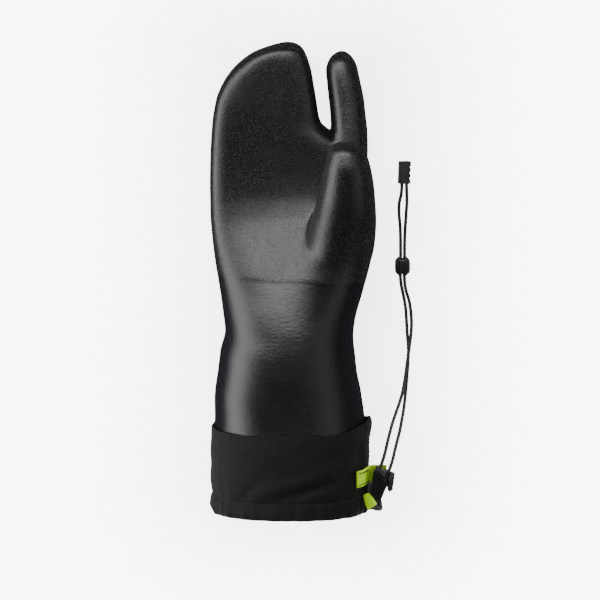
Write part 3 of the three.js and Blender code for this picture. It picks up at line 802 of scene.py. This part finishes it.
# where each strand's hole runs in the lock, from its foot up
LOCK_HOLES = {
    "a": [(-1.2, -16), (-3.2, -7), (-5.1, 2), (-5.3, 13)],
    "b": [(2.2, -16), (2.0, -7), (1.8, 2), (1.7, 13)],
}
HOUSING = [(-8.9, 8.2), (-7.4, 0), (-4.2, -12.2), (4.4, -12.2), (4.4, 2.8)]
COLLAR = [(-9.2, 9.0), (-8.8, 5.4), (4.4, -0.1), (4.4, 3.4)]
BUTTON = [(-8.2, 11.2), (-8.2, 9.4), (1.0, 5.7), (5.3, 4.6), (5.3, -0.6), (7.2, -2.6)]
TEETH_TOP, TEETH_FOOT = np.array([6.6, 12.2]), np.array([10.0, -0.8])
TEETH = 5
TOOTH_DEPTH = 0.9


def in_lock(points):
    """Points from the lock's own middle, turned as it lies."""
    return placed(points, LOCK_CENTRE, LOCK_LEAN)


def hole_points(key):
    return in_lock([(x, y, 0) for x, y in LOCK_HOLES[key]])


def make_housing(glossy):
    """The lock's tapered housing with its collar, drilled along both strands' bends."""
    body, faces = moulding(HOUSING, 9, 1.1, 1.6)
    lock = new_object("lock_housing", place(in_lock(body)), faces, glossy)
    band, faces = moulding(COLLAR, COLLAR_THICKNESS, 0.45, 0.5)
    cut(lock, in_lock(band), faces, "UNION")
    for key in LOCK_HOLES:
        low, _, bend, high = hole_points(key)
        for start, end in ((low, bend), (bend, high)):
            past = 0.4 * unit(end - start)
            drill(lock, start - past, end + past)
    sharpen(lock)
    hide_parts("lock_body")
    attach(lock, "root")


def make_button(satin):
    """The lock's button: teeth down its outer side, and a slot for one of the strands."""
    side = unit(np.array([TEETH_TOP[1] - TEETH_FOOT[1], TEETH_FOOT[0] - TEETH_TOP[0]]))
    outline = list(BUTTON)
    for k in range(TEETH):
        root = TEETH_FOOT + (TEETH_TOP - TEETH_FOOT) * k / TEETH - TOOTH_DEPTH * side
        crest = TEETH_FOOT + (TEETH_TOP - TEETH_FOOT) * (k + 0.6) / TEETH
        outline += [tuple(root), tuple(crest)]
    shape, faces = moulding(outline, 7.6, 0.35, 0.35)
    button = new_object("lock_button_ribbed", place(in_lock(shape)), faces, satin)
    slot = [(x, y, z) for z in (0, 8) for x, y in ((0.1, 3), (3.5, 3), (3.5, 14), (0.1, 14))]
    cut(button, in_lock(slot), closed_tube(2, 4))
    for key in LOCK_HOLES:
        bend, high = hole_points(key)[2:]
        drill(button, bend, high + 0.1 * (high - bend))
    sharpen(button)
    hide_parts("lock_button")
    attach(button, "root")


BEAD_CENTRE = (84.2, 177, 4.2)
BEAD_HALF = (5.7, 6.8, 4.0)
BEAD_HOLES = (85.7, 82.7)
BEAD_CORNER, BEAD_GROOVE = 2.6, 0.9
END_CENTRE = (85.2, 247.9, 4.3)
END_HALF = (4.1, 8.4, 2.7)
END_ROLL, END_LEAN = 24.0, -2.0
END_RIBS, RIB_DEPTH = 4, 0.7


def make_bead(plastic):
    """Two rounded lobes with a groove between them, drilled for both strands."""
    w, h, t = BEAD_HALF
    corner, groove = BEAD_CORNER, BEAD_GROOVE
    right = [(groove, -h + groove), (groove + 0.8, -h), (w - corner, -h), (w, -h + corner)]
    right += [(w, h - corner), (w - corner, h), (groove + 0.8, h), (groove, h - groove)]
    outline = right + [(-x, -y) for x, y in right]
    shape, faces = moulding(outline, 2 * t, 1.7, 1.2)
    bead = new_object("cord_bead_moulded", place(placed(shape, BEAD_CENTRE)), faces, plastic)
    for x in BEAD_HOLES:
        drill(bead, (x, 168, 4.2), (x, 186, 4.2))
    sharpen(bead)
    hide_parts("cord_bead")
    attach(bead, "root")
    return bead


def make_end(plastic):
    """A block with ribs down one side, drilled from its foot for the ends of both strands."""
    w, h, t = END_HALF
    outline = [(-w, h), (-w, -h), (w, -h)]
    for k in range(1, END_RIBS):
        y = -h + 2 * h * k / END_RIBS
        foot = w - RIB_DEPTH
        outline += [(w, y - 1), (foot, y - 0.6), (foot, y + 0.6), (w, y + 1)]
    outline.append((w, h))
    shape, faces = moulding(outline, 2 * t, 0.4, 0.3)
    placing = (END_CENTRE, END_LEAN, END_ROLL)
    end = new_object("cord_end_ribbed", place(placed(shape, *placing)), faces, plastic)
    for run in STRANDS.values():
        before, last = np.array(run[-2:])
        drill(end, before - 1.2 * (last - before), last + 0.12 * (last - before))
    sharpen(end)
    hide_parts("cord_end")
    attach(end, "root")
    return end


# The drawcord's two strands.
CORD_RADIUS = 1.3
CORD_SIDES = 20
PLAIT_DEPTH = 0.04
PLAIT_TURN = 1.9  # radians a millimetre
# from the lock up to the end piece
STRANDS = {
    "a": [
        (69.6, 41.8, 54.2), (71.3, 48.0, 51.4), (73.0, 53.9, 47.0), (74.8, 59.6, 41.8),
        (76.9, 65.2, 36.0), (79.2, 70.3, 30.0), (81.6, 75.5, 24.0), (83.8, 81.1, 18.0),
        (85.4, 86.8, 12.8), (86.6, 92.9, 8.8), (87.6, 99.3, 6.3), (88.5, 106.0, 4.9),
        (89.4, 112.7, 4.3), (90.3, 119.5, 3.9), (91.1, 127.0, 2.7), (91.3, 134.4, 1.5),
        (90.6, 142.8, 1.3), (89.3, 150.5, 1.3), (87.4, 156.5, 1.5), (86.2, 162.4, 2.9),
        (85.7, 168.4, 4.2), (85.7, 177.0, 4.2), (85.7, 185.6, 4.2), (85.7, 190.6, 3.0),
        (85.8, 196.0, 1.5), (86.2, 206.0, 1.3), (86.9, 218.0, 1.3), (87.3, 225.5, 1.5),
        (87.1, 231.0, 2.9), (86.9, 236.6, 4.1), (86.8, 240.8, 4.2), (86.7, 245.0, 4.2),
    ],
    "b": [
        (76.1, 39.4, 54.0), (77.9, 46.0, 50.0), (79.9, 52.2, 43.8), (82.0, 58.2, 36.2),
        (83.6, 64.2, 28.6), (85.1, 70.2, 21.0), (86.0, 75.1, 15.2), (86.8, 80.1, 10.0),
        (87.5, 85.3, 6.0), (88.1, 91.6, 3.0), (88.7, 99.0, 1.5), (89.1, 106.7, 1.3),
        (89.0, 115.1, 1.3), (88.2, 123.6, 1.3), (87.6, 133.6, 1.3), (86.8, 144.3, 1.3),
        (85.3, 153.0, 1.5), (83.4, 162.0, 2.9), (82.7, 168.4, 4.2), (82.7, 177.0, 4.2),
        (82.7, 185.6, 4.2), (82.7, 190.6, 3.0), (82.7, 196.0, 1.5), (82.4, 206.0, 1.3),
        (81.4, 218.0, 1.3), (81.7, 225.0, 1.5), (82.9, 231.0, 2.9), (83.3, 236.6, 4.0),
        (83.4, 240.8, 4.1), (83.4, 245.0, 4.1),
    ],
}
# from inside the hem, through the loop, to the lock
ROOTS = {
    "a": [(64.0, 1.8, 39.2), (64.3, 1.2, 43.0), (62.4, 1.6, 48.4), (60.9, 3.8, 52.4)],
    "b": [(67.2, 1.0, 36.4), (68.2, 0.0, 40.4), (67.4, 0.0, 46.0), (65.6, 1.6, 51.0)],
}


def strand_line(key):
    """The strand's middle line in close steps: a centripetal Catmull-Rom curve."""
    points = np.vstack([ROOTS[key], hole_points(key), STRANDS[key]])
    points = np.vstack([2 * points[0] - points[1], points, 2 * points[-1] - points[-2]])
    line = []
    for k in range(1, len(points) - 2):
        p = points[k - 1 : k + 3]
        gaps = np.sqrt(np.linalg.norm(np.diff(p, axis=0), axis=1))
        t0, t1, t2, t3 = np.concatenate([[0], np.cumsum(gaps)])
        steps = max(int(round(gaps[1] ** 2 / 0.5)), 2)
        for t in np.linspace(t1, t2, steps, endpoint=False):
            a1 = (t1 - t) / (t1 - t0) * p[0] + (t - t0) / (t1 - t0) * p[1]
            a2 = (t2 - t) / (t2 - t1) * p[1] + (t - t1) / (t2 - t1) * p[2]
            a3 = (t3 - t) / (t3 - t2) * p[2] + (t - t2) / (t3 - t2) * p[3]
            b1 = (t2 - t) / (t2 - t0) * a1 + (t - t0) / (t2 - t0) * a2
            b2 = (t3 - t) / (t3 - t1) * a2 + (t - t1) / (t3 - t1) * a3
            line.append((t2 - t) / (t2 - t1) * b1 + (t - t1) / (t2 - t1) * b2)
    return np.array(line + [points[-2]])


def make_strand(key, braid):
    """A braided tube along the strand's line, with the plait raised in its surface."""
    line = strand_line(key)
    tangent = unit(np.gradient(line, axis=0))
    gone = run_lengths(line)
    side = np.cross(tangent[0], (0, 1, 0))
    points, uvs = [], []
    for centre, along, far in zip(line, tangent, gone):
        side = unit(side - along * side.dot(along))
        up = np.cross(along, side)
        for i in range(CORD_SIDES):
            a = 2 * math.pi * i / CORD_SIDES
            plait = max(math.sin(4 * a + far * PLAIT_TURN), math.sin(4 * a - far * PLAIT_TURN))
            radius = CORD_RADIUS - PLAIT_DEPTH * (1 - plait)
            points.append(centre + radius * (math.cos(a) * side + math.sin(a) * up))
            uvs.append((i / CORD_SIDES, far * 0.001))
    faces = turned_over(closed_tube(len(line), CORD_SIDES))
    piece = new_object(f"drawcord_{key}", place(points), faces, braid, uvs=uvs)
    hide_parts(f"cord_{key}")
    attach(piece, "root")
    return piece, line, gone[-1]


# Materials.
GLINTS_PER_METRE = 1900.0
PEBBLE_DEPTH = 0.00018
FLOOR_HALF = 6.0
FLOAT, VECTOR = "NodeSocketFloat", "NodeSocketVector"


def feed(tree, socket, value):
    """Links another node's output to the socket, or sets a plain value there."""
    if isinstance(value, bpy.types.NodeSocket):
        tree.links.new(value, socket)
    else:
        socket.default_value = value


def add(tree, kind, inputs=None, **settings):
    """A node with its settings, and its inputs fed."""
    node = tree.nodes.new(kind)
    for name, value in settings.items():
        setattr(node, name, value)
    for name, value in (inputs or {}).items():
        feed(tree, node.inputs[name], value)
    return node


def noise(tree, where, scale, detail=2.0):
    """Soft noise from 0 to 1; scale is in waves a metre."""
    inputs = {"Vector": where, "Scale": scale, "Detail": detail}
    return add(tree, "ShaderNodeTexNoise", inputs).outputs["Fac"]


def coordinates(tree, kind="Object"):
    return add(tree, "ShaderNodeTexCoord").outputs[kind]


def math_node(tree, operation, a, b=0.0, c=0.0, clamp=False):
    node = add(tree, "ShaderNodeMath", {0: a, 1: b, 2: c}, operation=operation, use_clamp=clamp)
    return node.outputs[0]


def new_group(name, inputs, outputs):
    """A node group with float or vector inputs and float outputs."""
    tree = bpy.data.node_groups.new(name, "ShaderNodeTree")
    for label, kind, value in inputs:
        socket = tree.interface.new_socket(label, in_out="INPUT", socket_type=kind)
        if value is not None:
            socket.default_value = value
    for label in outputs:
        tree.interface.new_socket(label, in_out="OUTPUT", socket_type="NodeSocketFloat")
    return tree, tree.nodes.new("NodeGroupInput"), tree.nodes.new("NodeGroupOutput")


def dip_texture_group():
    """Pebbled skin of dipped rubber: a height, a mask of painted glints (tiny specks to be painted
    pale, as though catching the light), and a slow cloud.
    """
    tree, given, out = new_group(
        "dip_texture",
        [("Vector", VECTOR, None), ("Pebbles per mm", FLOAT, 0.7), ("Grain share", FLOAT, 0.1)],
        ["Height", "Painted glints", "Cloud"],
    )
    where = given.outputs["Vector"]
    scale = math_node(tree, "MULTIPLY", given.outputs["Pebbles per mm"], 1000)
    fine_scale = math_node(tree, "MULTIPLY", scale, 2.7)
    fine = add(tree, "ShaderNodeTexVoronoi", {"Vector": where, "Scale": fine_scale})
    pebbles = noise(tree, where, scale, 2.5)
    bumps = math_node(tree, "MULTIPLY_ADD", fine.outputs["Distance"], -0.35, pebbles)
    tree.links.new(bumps, out.inputs["Height"])
    # Painted highlight: random tiny cells are chosen as glints, to be painted pale in the colour.
    painted_glints = add(tree, "ShaderNodeTexVoronoi", {"Vector": where, "Scale": GLINTS_PER_METRE})
    lit = add(tree, "ShaderNodeSeparateColor", {"Color": painted_glints.outputs["Color"]})
    chosen = math_node(tree, "LESS_THAN", lit.outputs[0], given.outputs["Grain share"])
    near = math_node(tree, "LESS_THAN", painted_glints.outputs["Distance"], 0.5)
    tree.links.new(math_node(tree, "MULTIPLY", chosen, near), out.inputs["Painted glints"])
    tree.links.new(noise(tree, where, 38.0, 3), out.inputs["Cloud"])
    return tree


def weave_group():
    """Plain weave from UVs in metres: a height and a mask of the threads on top."""
    tree, given, out = new_group(
        "plain_weave",
        [("Vector", VECTOR, None), ("Threads per mm", FLOAT, 2.5), ("Ribs", FLOAT, 0.0)],
        ["Height", "Over"],
    )
    parts = add(tree, "ShaderNodeSeparateXYZ", {"Vector": given.outputs["Vector"]})
    turn = math_node(tree, "MULTIPLY", given.outputs["Threads per mm"], 1000 * math.pi)
    angles = [math_node(tree, "MULTIPLY", parts.outputs[axis], turn) for axis in (0, 1)]
    warp, weft = [math_node(tree, "SINE", angle) for angle in angles]
    woven = math_node(tree, "MULTIPLY", warp, weft)
    raised = math_node(tree, "ABSOLUTE", woven)
    ribbed = math_node(tree, "MULTIPLY", math_node(tree, "ABSOLUTE", weft), given.outputs["Ribs"])
    tree.links.new(math_node(tree, "ADD", raised, ribbed), out.inputs["Height"])
    tree.links.new(math_node(tree, "MULTIPLY_ADD", woven, 0.5, 0.5), out.inputs["Over"])
    return tree


def edge_wear_group():
    """A mask of the worn, rubbed edges of a moulding, and a faint cloud of handling marks."""
    inputs = [("Vector", VECTOR, None), ("From", FLOAT, 0.52)]
    tree, given, out = new_group("edge_wear", inputs, ["Edges", "Marks"])
    shape = add(tree, "ShaderNodeNewGeometry")
    above = math_node(tree, "SUBTRACT", shape.outputs["Pointiness"], given.outputs["From"])
    marks = noise(tree, given.outputs["Vector"], 420.0)
    strong = math_node(tree, "MULTIPLY", above, 14, clamp=True)
    tree.links.new(math_node(tree, "MULTIPLY", strong, marks), out.inputs["Edges"])
    tree.links.new(marks, out.inputs["Marks"])
    return tree


def new_material(name, colour, roughness):
    material = bpy.data.materials.new(name)
    material.use_nodes = True
    tree = material.node_tree
    shader = tree.nodes["Principled BSDF"]
    shader.inputs["Base Color"].default_value = (*colour, 1)
    shader.inputs["Roughness"].default_value = roughness
    material.diffuse_color = (*colour, 1)
    return material, tree, shader


def use_group(tree, group, **inputs):
    """The outputs of a node group placed in the material, with its own values."""
    node = add(tree, "ShaderNodeGroup", node_tree=group)
    for name, value in inputs.items():
        feed(tree, node.inputs[name.replace("_", " ")], value)
    return node.outputs


def mix_value(tree, share, low, high):
    node = add(tree, "ShaderNodeMix", {0: share, 2: low, 3: high}, data_type="FLOAT")
    return node.outputs[0]


def mix_colour(tree, share, low, high):
    node = add(tree, "ShaderNodeMix", {0: share}, data_type="RGBA")
    for index, value in ((6, low), (7, high)):
        feed(tree, node.inputs[index], (*value, 1) if isinstance(value, tuple) else value)
    return node.outputs[2]


def bump(tree, shader, height, distance, strength=1.0):
    """Raises the surface's shading by height, distance metres deep."""
    node = add(tree, "ShaderNodeBump", {"Height": height, "Distance": distance, "Strength": strength})
    tree.links.new(node.outputs["Normal"], shader.inputs["Normal"])


def dipped_material(group):
    """Smooth pebbled dip on the gauntlet, and a rougher second dip over the hand, speckled with
    painted glints: tiny pale specks standing in for highlights.
    """
    material, tree, shader = new_material("dipped_rubber", (0.012, 0.012, 0.015), 0.4)
    where = coordinates(tree)
    parts = add(tree, "ShaderNodeSeparateXYZ", {"Vector": where})
    slanted = math_node(tree, "MULTIPLY_ADD", parts.outputs["X"], -COAT_SLOPE, parts.outputs["Y"])
    edge = (COAT_EDGE + OFFSET[1] - COAT_SLOPE * OFFSET[0]) * 0.001
    past = math_node(tree, "SUBTRACT", slanted, edge)
    coat = math_node(tree, "MULTIPLY_ADD", past, 900, 0.5, clamp=True)
    smooth = use_group(tree, group, Vector=where, Pebbles_per_mm=0.62, Grain_share=0.02)
    rough = use_group(tree, group, Vector=where, Pebbles_per_mm=0.85, Grain_share=0.2)
    bump(tree, shader, mix_value(tree, coat, smooth["Height"], rough["Height"]), PEBBLE_DEPTH)
    painted_glints = math_node(tree, "MULTIPLY", rough["Painted glints"], coat)
    base = mix_colour(tree, coat, (0.004, 0.004, 0.006), (0.005, 0.005, 0.006))
    cloudy = mix_colour(tree, smooth["Cloud"], base, (0.0045, 0.004, 0.005))
    # Painted highlight: the glint specks on the second dip are painted pale into the base colour.
    feed(tree, shader.inputs["Base Color"], mix_colour(tree, painted_glints, cloudy, (0.034, 0.032, 0.03)))
    plain = mix_value(tree, coat, 0.22, 0.23)
    varied = math_node(tree, "MULTIPLY_ADD", smooth["Cloud"], 0.08, plain)
    feed(tree, shader.inputs["Roughness"], varied)
    return material


def liner_material(weave):
    """Dull grey knit, fuzzy where the hand goes in."""
    material, tree, shader = new_material("knitted_liner", (0.03, 0.03, 0.033), 0.95)
    where = coordinates(tree)
    fuzz = noise(tree, where, 900.0, 3.0)
    knit = use_group(tree, weave, Vector=where, Threads_per_mm=0.7)
    bump(tree, shader, math_node(tree, "ADD", fuzz, knit["Height"]), 0.0004)
    colour = mix_colour(tree, fuzz, (0.02, 0.02, 0.022), (0.055, 0.055, 0.06))
    feed(tree, shader.inputs["Base Color"], colour)
    shader.inputs["Sheen Weight"].default_value = 0.3
    return material


def cloth_material(weave):
    """Black woven cuff cloth with a fine plain weave and a faint dull sheen."""
    material, tree, shader = new_material("cuff_weave", (0.014, 0.013, 0.013), 0.75)
    woven = use_group(tree, weave, Vector=coordinates(tree, "UV"), Threads_per_mm=2.2, Ribs=0.15)
    crumple = noise(tree, coordinates(tree), 55.0, 4.0)
    small = math_node(tree, "MULTIPLY", woven["Height"], 0.06)
    bump(tree, shader, math_node(tree, "MULTIPLY_ADD", crumple, 0.9, small), 0.0012, 0.6)
    colour = mix_colour(tree, woven["Over"], (0.0026, 0.0023, 0.0024), (0.0044, 0.004, 0.0041))
    feed(tree, shader.inputs["Base Color"], colour)
    shader.inputs["Sheen Weight"].default_value = 0.01
    shader.inputs["Sheen Roughness"].default_value = 0.5
    shader.inputs["Specular IOR Level"].default_value = 0.2
    return material


def webbing_material(weave):
    """Lime webbing with coarse ribs, a little uneven in its dye."""
    material, tree, shader = new_material("lime_weave", (0.5, 0.78, 0.02), 0.75)
    uv = coordinates(tree, "UV")
    woven = use_group(tree, weave, Vector=uv, Threads_per_mm=0.9, Ribs=0.7)
    bump(tree, shader, woven["Height"], 0.00018)
    tone = mix_colour(tree, noise(tree, uv, 260.0), (0.31, 0.57, 0.0), (0.42, 0.69, 0.0))
    feed(tree, shader.inputs["Base Color"], mix_colour(tree, woven["Over"], (0.25, 0.47, 0.0), tone))
    shader.inputs["Specular IOR Level"].default_value = 0.1
    return material


def plastic_material(name, wear, colour, worn, roughness, coat=0.0):
    """Moulded plastic, paler on its rubbed edges."""
    material, tree, shader = new_material(name, colour, roughness)
    where = coordinates(tree)
    rubbed = use_group(tree, wear, Vector=where)
    feed(tree, shader.inputs["Base Color"], mix_colour(tree, rubbed["Edges"], colour, worn))
    rough = math_node(tree, "MULTIPLY_ADD", rubbed["Marks"], 0.12, roughness - 0.06)
    feed(tree, shader.inputs["Roughness"], rough)
    bump(tree, shader, noise(tree, where, 2600.0), 0.00002)
    shader.inputs["Coat Weight"].default_value = coat
    return material


def braid_material(weave):
    """Black cord with its fine threads laid across each other."""
    material, tree, shader = new_material("cord_plait", (0.012, 0.012, 0.013), 0.8)
    flat = {0: coordinates(tree, "UV"), 1: (0.0075, 1, 1)}
    scaled = add(tree, "ShaderNodeVectorMath", flat, operation="MULTIPLY").outputs[0]
    turned = add(tree, "ShaderNodeVectorRotate", {"Vector": scaled, "Angle": 0.785}).outputs[0]
    woven = use_group(tree, weave, Vector=turned, Threads_per_mm=1.6)
    bump(tree, shader, woven["Height"], 0.0001)
    colour = mix_colour(tree, woven["Over"], (0.009, 0.009, 0.01), (0.03, 0.03, 0.032))
    feed(tree, shader.inputs["Base Color"], colour)
    return material


def thread_material(name, colour):
    """Twisted sewing thread."""
    material, tree, shader = new_material(name, colour, 0.8)
    fibre = noise(tree, coordinates(tree), 3000.0)
    bump(tree, shader, fibre, 0.00005)
    lighter = tuple(min(c * 1.8, 1) for c in colour)
    feed(tree, shader.inputs["Base Color"], mix_colour(tree, fibre, colour, lighter))
    return material


def make_floor():
    """A pale surface that glows, with a painted shadow: it glows less close to the mitten."""
    material, tree, shader = new_material("pale_floor", (0.93, 0.93, 0.93), 0.6)
    where = coordinates(tree)
    tone = mix_colour(tree, noise(tree, where, 2.0), (0.92, 0.92, 0.92), (0.94, 0.94, 0.94))
    feed(tree, shader.inputs["Base Color"], tone)
    shader.inputs["Specular IOR Level"].default_value = 0.2
    past = where
    for operation, extra in (("ABSOLUTE", {}), ("SUBTRACT", {1: (0.05, 0.16, 0)}), ("MAXIMUM", {})):
        past = add(tree, "ShaderNodeVectorMath", {0: past, **extra}, operation=operation).outputs[0]
    gap = add(tree, "ShaderNodeVectorMath", {0: past}, operation="LENGTH").outputs["Value"]
    # Painted shadow: the weaker glow near the mitten stands in for a soft contact shadow.
    glow_with_painted_shadow = mix_value(tree, math_node(tree, "MULTIPLY", gap, 7.0, clamp=True), 4.0, 8.0)
    shader.inputs["Emission Color"].default_value = (1, 1, 1, 1)
    feed(tree, shader.inputs["Emission Strength"], glow_with_painted_shadow)
    size = FLOOR_HALF
    corners = [(-size, -size, 0), (size, -size, 0), (size, size, 0), (-size, size, 0)]
    floor = new_object("floor", corners, [(0, 1, 2, 3)], material)
    floor.visible_glossy = False


# Build.
make_camera()
light_studio()

dip_texture = dip_texture_group()
plain_weave = weave_group()
edge_wear = edge_wear_group()
dipped_rubber = dipped_material(dip_texture)
knitted_liner = liner_material(plain_weave)
cuff_weave = cloth_material(plain_weave)
lime_weave = webbing_material(plain_weave)
glossy_black = plastic_material(
    "lock_gloss", edge_wear, (0.008, 0.008, 0.009), (0.05, 0.05, 0.05), 0.22, 0.3
)
satin_grey, bead_black, end_grey = [
    plastic_material(name, edge_wear, colour, worn, roughness)
    for name, colour, worn, roughness in (
        ("button_satin", (0.012, 0.012, 0.014), (0.06, 0.06, 0.065), 0.45),
        ("bead_satin", (0.012, 0.012, 0.013), (0.07, 0.07, 0.07), 0.35),
        ("end_satin", (0.014, 0.014, 0.016), (0.08, 0.08, 0.085), 0.35),
    )
]
cord_plait = braid_material(plain_weave)
black_thread = thread_material("black_thread", (0.015, 0.015, 0.015))
hem_thread = thread_material("hem_thread", (0.01, 0.0095, 0.0095))

bead = make_bead(bead_black)
end_piece = make_end(end_grey)
for key in STRANDS:
    strand, line, length = make_strand(key, cord_plait)

make_mitten(dipped_rubber, knitted_liner)
cuff = make_cuff(cuff_weave)
stitches = hem_stitches(hem_thread)
make_tab(lime_weave)
tab_stitches(black_thread)
make_loop(lime_weave)
make_housing(glossy_black)
make_button(satin_grey)
make_floor()
